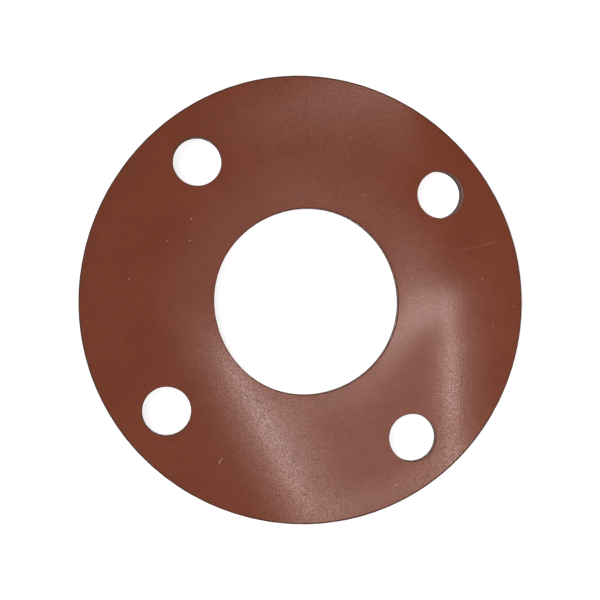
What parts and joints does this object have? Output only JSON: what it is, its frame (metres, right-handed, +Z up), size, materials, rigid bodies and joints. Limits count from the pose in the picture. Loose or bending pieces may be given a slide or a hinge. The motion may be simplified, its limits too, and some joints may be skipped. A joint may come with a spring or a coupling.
{
  "type": "flange gasket",
  "caption": "Full-face flange gasket: a flat red rubber ring with a large bore and a circle of bolt holes, clamped between two pipe flanges to seal the joint.",
  "frame": {"origin": "middle of the bore on the lower face, which the gasket lies on", "axes": "+Z up through the sheet along the bore's axis; the bolt holes straddle +X and +Y, with their middles at 45 degrees to them"},
  "size_m": [0.1778, 0.1778, 0.0032],
  "materials": {
    "red_rubber": "smooth calendered sheet with a soft satin sheen"
  },
  "bodies": {
    "root": {"flange_gasket": "red_rubber"}
  },
  "joints": []
}
